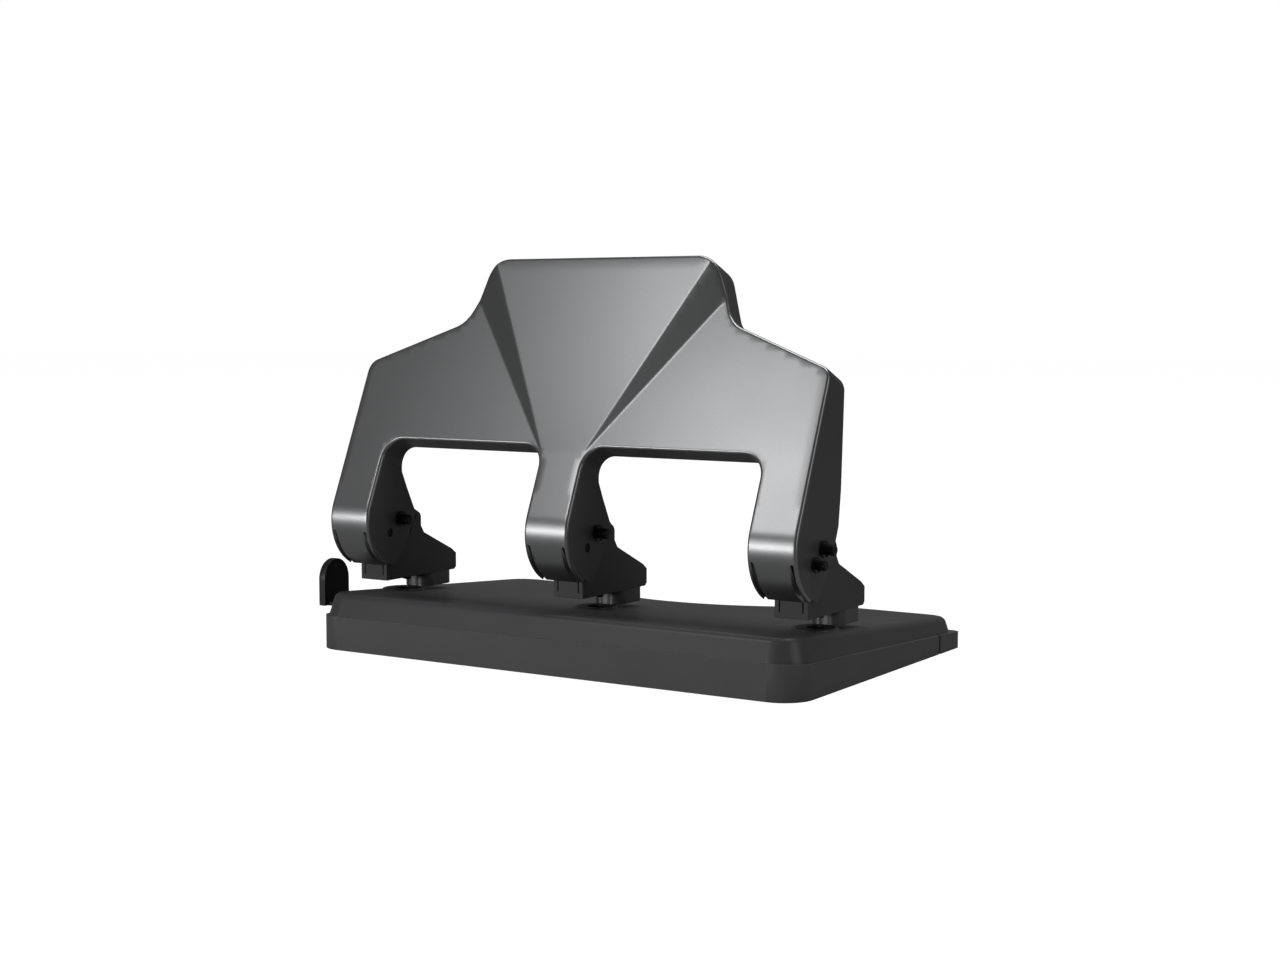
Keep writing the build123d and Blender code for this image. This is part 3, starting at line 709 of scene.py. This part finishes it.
    def _ridges(self) -> list[list[Point]]:
        """Lines beside the panel's creases, so that the mesh follows them.

        Returns:
            Paths in the layout.
        """
        ridges = []
        for side in (-1, 1):
            for end, reach in ((self.panel_high, 0.975), (self.crease, 0.95)):
                start = Vector(self.panel_low)
                run = Vector(end) - start
                across = Vector((-run.y, run.x)).normalized()
                for offset in (-1.1, -0.55, 0.0, 0.55, 1.1):
                    a = start + run * 0.03 + across * offset
                    b = start + run * reach + across * offset
                    path = self._spread([(side * a.x, a.y), (side * b.x, b.y)], 3.0)
                    ridges.append(path)
        for offset in (-1.2, 0.0, 1.2):
            z = self.panel_low[1] + offset
            ridges.append(self._spread([(-7.0, z), (7.0, z)], 2.0))
        return ridges

    def _fill(self, loop: np.ndarray, rims: list[list[Point]],
              ridges: list[list[Point]]) -> list[Point]:
        """Points that fill the sheet's middle.

        Args:
            loop: The boundary.
            rims: The rolled rim lines.
            ridges: The crease lines.

        Returns:
            Fill points clear of the rims, slots and creases.
        """
        rows = self._rows()
        fine, coarse, border = 1.5, 3.2, 4
        reach = self.leg_half - 2.0
        near = []
        for middle in (-self.pitch, 0.0, self.pitch):
            for t in rows:
                for x in np.arange(-reach, reach + 0.01, fine):
                    near.append((middle + x, t))
        wide = []
        level = rows[-1] + coarse
        while level < self.top - border:
            for x in np.arange(-self.half + border, self.half - border, coarse):
                wide.append((x, level))
            level += coarse
        points = np.array(near + wide)
        keep = self._inside(points, loop)
        points = points[keep]
        gap = self._distance(points, rims)
        points = points[gap > self._roll_radius(points[:, 1]) + 0.5]
        slots = []
        high, low = self._arc_t(self.slot_start), rows[0]
        for middle in (-self.pitch, 0.0, self.pitch):
            for side in (-1, 1):
                x = middle + side * self.slot_centre
                slots.append([(x, low), (x, high - self.slot_width / 2)])
        points = points[self._distance(points, slots) > self.slot_width / 2 + 0.35]
        points = points[self._distance(points, ridges) > 0.9]
        points = points[points[:, 1] > rows[0] + 0.5]
        return [tuple(p) for p in points]

    def _place(self, flat: np.ndarray, depth: np.ndarray, lift: np.ndarray) -> np.ndarray:
        """Bend layout points into their places on the handle.

        Args:
            flat: (x, t) points.
            depth: How far each lies into the sheet.
            lift: How far each stands out in front of the face.

        Returns:
            Points in metres.
        """
        x, t = flat[:, 0], flat[:, 1]
        angle = self._inward(t)
        above = t >= self.tangent
        turn = math.pi - angle
        nose_y = self.pivot[0] + self.radius * np.cos(turn)
        nose_z = self.pivot[1] + self.radius * np.sin(turn)
        y = np.where(above, self._face_y(t), nose_y)
        z = np.where(above, t, nose_z)
        y = y + (depth - lift) * np.cos(angle)
        z = z - (depth - lift) * np.sin(angle)
        return np.stack([x, y, z], axis=1) * MM

    def _border(self, faces: list[tuple[int, ...]]) -> list[tuple[int, int]]:
        """Edges that belong to one face only, in that face's direction."""
        used: dict[frozenset[int], list[tuple[int, int]]] = {}
        for face in faces:
            for edge in zip(face, face[1:] + face[:1]):
                used.setdefault(frozenset(edge), []).append(edge)
        return [edges[0] for edges in used.values() if len(edges) == 1]

    def build(self) -> bpy.types.Object:
        """Build the cover.

        Returns:
            The closed sheet.
        """
        flat, faces, rims, depth = self._layout()
        lift = np.zeros(len(flat))
        for _ in range(3):
            height = flat[:, 1] + lift * math.sin(self.lean)
            lift = self._raise(flat[:, 0], height) * math.cos(self.lean)
        points = [tuple(p) for p in self._place(flat, depth, lift)]
        gap = self._distance(flat, rims)
        on_rim = 1e-3
        rear: dict[int, int] = {}
        wall = self._place(flat, np.maximum(self._rim_depth(flat[:, 1]), depth + 0.05),
                           np.zeros(len(flat)))
        for a, b in self._border(faces):
            if gap[a] < on_rim and gap[b] < on_rim:
                for corner in (a, b):
                    if corner not in rear:
                        rear[corner] = len(points)
                        points.append(tuple(wall[corner]))
                faces.append((b, a, rear[a], rear[b]))
        shape = new_object("handle_cover_sheet", points, faces)
        solid = shape.modifiers.new("skin", "SOLIDIFY")
        solid.thickness = self.skin * MM
        solid.offset = -1.0
        solid.use_even_offset = True
        log.info("cover: %d points", len(points))
        return settle(shape, sharp_degrees=38.0)

    def dress(self, shape: bpy.types.Object) -> None:
        """Finish the cover and put it on the handle."""
        finish_piece(shape, Body.HANDLE, Slot.SILVER, "handle_cover")


# ---- springs -------------------------------------------------------------------------------


@dataclass
class ReturnSprings:
    """The compression spring round each punch.

    Attributes:
        turns: Active turns.
        closed: Closed turns at each end.
        wire: Wire diameter, in metres.
        keep: Share of the length left when the handle is down; not used.
        steps_per_turn: Points of the wire's line in one turn.
    """

    turns: float = 7.0
    closed: float = 1.0
    wire: float = 0.0007
    keep: float = 0.555
    steps_per_turn: int = 28

    def build(self, name: str) -> bpy.types.Object:
        """Build one spring in its place.

        Args:
            name: Which leg it is in.

        Returns:
            The spring.
        """
        low, high = (Vector(corner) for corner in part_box(f"return_spring_{name}"))
        centre = (low + high) / 2
        mean = (high.x - low.x) / 2 - self.wire / 2
        length = high.z - low.z - 1.2 * self.wire
        closed = self.closed
        total = self.turns + 2 * closed
        curve = bpy.data.curves.new(f"return_coil_{name}", "CURVE")
        curve.dimensions = "3D"
        curve.bevel_depth = self.wire / 2
        curve.bevel_resolution = 3
        curve.use_fill_caps = True
        spline = curve.splines.new("POLY")
        steps = int(total * self.steps_per_turn)
        spline.points.add(steps)
        for step in range(steps + 1):
            turn = total * step / steps
            share = min(max((turn - closed) / self.turns, 0.0), 1.0)
            inner = length - 2 * closed * self.wire
            rise = closed * self.wire * (min(turn, closed) + max(turn - closed - self.turns, 0.0))
            z = low.z + 0.6 * self.wire + rise + share * inner
            angle = turn * math.tau
            spline.points[step].co = (centre.x + mean * math.cos(angle),
                                      centre.y + mean * math.sin(angle), z, 1.0)
        coil = bpy.data.objects.new(curve.name, curve)
        bpy.context.scene.collection.objects.link(coil)
        graph = bpy.context.evaluated_depsgraph_get()
        mesh = bpy.data.meshes.new_from_object(coil.evaluated_get(graph))
        bpy.data.objects.remove(coil)
        shape = bpy.data.objects.new(f"return_coil_{name}", mesh)
        bpy.context.scene.collection.objects.link(shape)
        return settle(shape, sharp_degrees=60.0)

    def dress(self, shape: bpy.types.Object, name: str) -> None:
        """Finish one spring and give it a mesh of its own.

        Args:
            shape: The spring.
            name: Which leg it is in.
        """
        finish_piece(shape, Body.BASE, Slot.STEEL, f"return_spring_{name}")
        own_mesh(shape)


# ---- pivot pins ----------------------------------------------------------------------------


@dataclass
class PivotPins:
    """The three headed pivot pins, repeated at the legs' pitch.

    Attributes:
        shank: Radius of the shank, in metres.
        head_thick: Thickness of the head, in metres.
        groove: Depth of the groove for the snap ring, in metres.
        edge: Size of the rounded edges, in metres.
        round_steps: Mesh steps round each rounded edge.
    """

    shank: float = 0.00225
    head_thick: float = 0.0014
    groove: float = 0.00055
    edge: float = 0.0006
    round_steps: int = 5

    def build(self) -> bpy.types.Object:
        """Build one pin from its CAD box and repeat it.

        Returns:
            The three pins in one object.
        """
        low, high = (Vector(corner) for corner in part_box("pivot_pin_centre"))
        ring_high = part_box("pivot_rings")[1]
        left_low, right_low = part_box("pivot_pin_left")[0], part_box("pivot_pin_right")[0]
        pitch = (right_low[0] - left_low[0]) / 2
        head = (high.z - low.z) / 2
        shank, edge = self.shank, self.edge
        groove_start, groove_end = -0.0008, 0.0001
        ring_x = ring_high[0] - pitch
        profile = [(low.x, 0.0), (low.x, head - edge)]
        for step in range(1, self.round_steps + 1):
            angle = math.pi / 2 * step / self.round_steps
            profile.append((low.x + edge - edge * math.cos(angle),
                            head - edge + edge * math.sin(angle)))
        profile += [(low.x + self.head_thick, head), (low.x + self.head_thick, shank),
                    (ring_x + groove_start, shank), (ring_x + groove_start, shank - self.groove),
                    (ring_x + groove_end, shank - self.groove), (ring_x + groove_end, shank),
                    (high.x - edge, shank)]
        for step in range(1, self.round_steps + 1):
            angle = math.pi / 2 * step / self.round_steps
            profile.append((high.x - edge + edge * math.sin(angle),
                            shank - edge + edge * math.cos(angle)))
        profile.append((high.x, 0.0))
        pin = turned("pivot_pin_row", profile)
        middle = (low + high) / 2
        row = RepeatAlongX(3, pitch, (0.0, middle.y, middle.z))
        return row.apply(pin, Slot.BLACK_STEEL)

    def dress(self, shape: bpy.types.Object) -> None:
        """Finish the pins and fix them to the base."""
        finish_piece(shape, Body.BASE, Slot.BLACK_STEEL,
                     *(f"pivot_pin_{name}" for name in LEGS))


# ---- carried-over CAD nodes ----------------------------------------------------------------


@dataclass
class CadDressing:
    """Eased edges and finishes on the CAD nodes that stay visible.

    Attributes:
        edges: Edge radius for each stem of node names, in metres.
    """

    edges: dict[str, float] = field(default_factory=lambda: {
        "base_housing": 0.0005, "chip_tray": 0.0006, "hinge_block": 0.0006,
        "handle_frame": 0.0005, "punch_bracket": 0.0004, "paper_guide": 0.0003,
        "punch_pin": 0.0002, "stop_pin": 0.0002, "cover_screws": 0.0002,
    })

    def dress(self) -> None:
        """Ease and finish every node."""
        slots = {item["node"]: Slot(item["material_slot"])
                 for item in frame["record"]["subparts"]}
        for name, shape in frame["nodes"].items():
            material = FINISHES[slots[name]].material()
            for place in shape.material_slots:
                place.link = "OBJECT"
                place.material = material
            width = next((size for stem, size in self.edges.items() if name.startswith(stem)), 0)
            if width:
                self._ease(shape, width)

    def _ease(self, shape: bpy.types.Object, width: float) -> None:
        """Round a node's sharp edges with modifiers only.

        Args:
            shape: The CAD node.
            width: Edge radius, in metres.
        """
        weld = shape.modifiers.new("join", "WELD")
        weld.merge_threshold = 1e-6
        bevel = shape.modifiers.new("ease", "BEVEL")
        bevel.width = width
        bevel.segments = 3
        bevel.limit_method = "ANGLE"
        bevel.angle_limit = math.radians(38)
        bevel.use_clamp_overlap = True
        bevel.harden_normals = False


# ---- studio --------------------------------------------------------------------------------


@dataclass
class Softbox:
    """One rectangular studio light aimed at a point.

    Attributes:
        name: Name of the light.
        place: Position, in metres.
        target: Point it faces, in metres.
        size: Width and height, in metres.
        power: Power, in watts.
    """

    name: str
    place: tuple[float, float, float]
    target: tuple[float, float, float]
    size: tuple[float, float]
    power: float

    def build(self) -> None:
        """Add the light to the scene."""
        data = bpy.data.lights.new(self.name, "AREA")
        data.shape = "RECTANGLE"
        data.size, data.size_y = self.size
        data.energy = self.power
        lamp = bpy.data.objects.new(self.name, data)
        lamp.location = self.place
        away = Vector(self.place) - Vector(self.target)
        lamp.rotation_euler = away.to_track_quat("Z", "Y").to_euler()
        bpy.context.scene.collection.objects.link(lamp)


@dataclass
class Studio:
    """Camera, lights, floor and surroundings.

    Attributes:
        camera_place: Camera position, in metres.
        azimuth: Turn of the camera about +Z, in degrees.
        pitch: How far it looks below the horizon, in degrees.
        lens: Focal length on a 36 mm sensor, in millimetres.
    """

    camera_place: tuple[float, float, float] = (0.4665, -0.698, 0.1499)
    azimuth: float = 32.42
    pitch: float = 4.85
    lens: float = 54.34

    def build(self) -> None:
        """Build the whole studio."""
        self._camera()
        self._world()
        self._floor()
        for light in self._lights():
            light.build()
        bpy.context.scene.view_settings.view_transform = "Standard"

    def _camera(self) -> None:
        """Place the camera."""
        data = bpy.data.cameras.new("camera")
        data.sensor_width = 36.0
        data.lens = self.lens
        data.clip_start = 0.01
        camera = bpy.data.objects.new("camera", data)
        camera.location = self.camera_place
        camera.rotation_euler = (math.radians(90 - self.pitch), 0.0, math.radians(self.azimuth))
        bpy.context.scene.collection.objects.link(camera)
        bpy.context.scene.camera = camera

    def _lights(self) -> list[Softbox]:
        """List the lights.

        Returns:
            Every softbox of the set.
        """
        aim = (0.0, -0.02, 0.08)
        return [
            Softbox("key", (-0.70, -1.25, 1.10), aim, (0.40, 0.42), 2.3),
            Softbox("low_strip", (-0.72, -1.35, 0.13), aim, (1.1, 0.11), 3.2),
            Softbox("right_fill", (1.7, -0.2, 0.7), aim, (0.8, 1.2), 2.8),
            Softbox("front_fill", (-1.1, -2.0, 0.35), aim, (0.6, 0.5), 2.5),
            Softbox("top", (0.0, 0.3, 1.7), aim, (1.4, 0.8), 13.0),
        ]

    def _world(self) -> None:
        """Set dim grey surroundings that show as white behind the object."""
        world = bpy.data.worlds.new("studio")
        bpy.context.scene.world = world
        world.use_nodes = True
        tree = world.node_tree
        tree.nodes.clear()
        path = add_node(tree, "ShaderNodeLightPath")
        dim = add_node(tree, "ShaderNodeBackground",
                       {"Color": linear("#b0b0b2"), "Strength": 0.16})
        seen = add_node(tree, "ShaderNodeBackground", {"Color": linear("#ffffff"),
                                                       "Strength": 1.0})
        mix = add_node(tree, "ShaderNodeMixShader",
                       {0: path.outputs["Is Camera Ray"], 1: dim.outputs["Background"],
                        2: seen.outputs["Background"]})
        add_node(tree, "ShaderNodeOutputWorld", {"Surface": mix.outputs["Shader"]})

    def _floor(self) -> None:
        """Lay a plain pale floor that shows white but throws little light up."""
        reach = 6.0
        seen_glow, thrown_glow = 0.92, 0.06
        floor = new_object("studio_floor", [(-reach, -reach, 0), (reach, -reach, 0),
                                            (reach, reach, 0), (-reach, reach, 0)],
                           [(0, 1, 2, 3)])
        material = bpy.data.materials.new("pale studio floor")
        material.use_nodes = True
        tree = material.node_tree
        tree.nodes.clear()
        path = add_node(tree, "ShaderNodeLightPath")
        glow = add_node(tree, "ShaderNodeMath",
                        {0: path.outputs["Is Camera Ray"], 1: seen_glow, 2: thrown_glow},
                        operation="MULTIPLY_ADD")
        shader = add_node(tree, "ShaderNodeBsdfPrincipled",
                          {"Base Color": linear("#7c7c7c"), "Roughness": 0.9,
                           "Specular IOR Level": 0.0,
                           "Emission Color": linear("#ffffff"),
                           "Emission Strength": glow.outputs["Value"]})
        add_node(tree, "ShaderNodeOutputMaterial", {"Surface": shader.outputs["BSDF"]})
        floor.data.materials.append(material)


# ---- whole punch ---------------------------------------------------------------------------


@dataclass
class PunchScene:
    """The punch and its studio.

    Attributes:
        cover: The handle's bright sheet.
        springs: The return springs.
        pins: The pivot pins.
        nodes: Dressing of the CAD nodes that stay.
        studio: Camera, lights and floor.
    """

    cover: HandleCover = field(default_factory=HandleCover)
    springs: ReturnSprings = field(default_factory=ReturnSprings)
    pins: PivotPins = field(default_factory=PivotPins)
    nodes: CadDressing = field(default_factory=CadDressing)
    studio: Studio = field(default_factory=Studio)

    def build(self) -> None:
        """Build every piece, then the studio."""
        self.nodes.dress()
        self.cover.dress(self.cover.build())
        self.pins.dress(self.pins.build())
        for name in LEGS:
            self.springs.dress(self.springs.build(name), name)
        self.studio.build()


def main() -> None:
    """Build the scene."""
    logging.basicConfig(level=logging.INFO)
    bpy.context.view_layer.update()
    PunchScene().build()


if __name__ == "__main__":
    main()
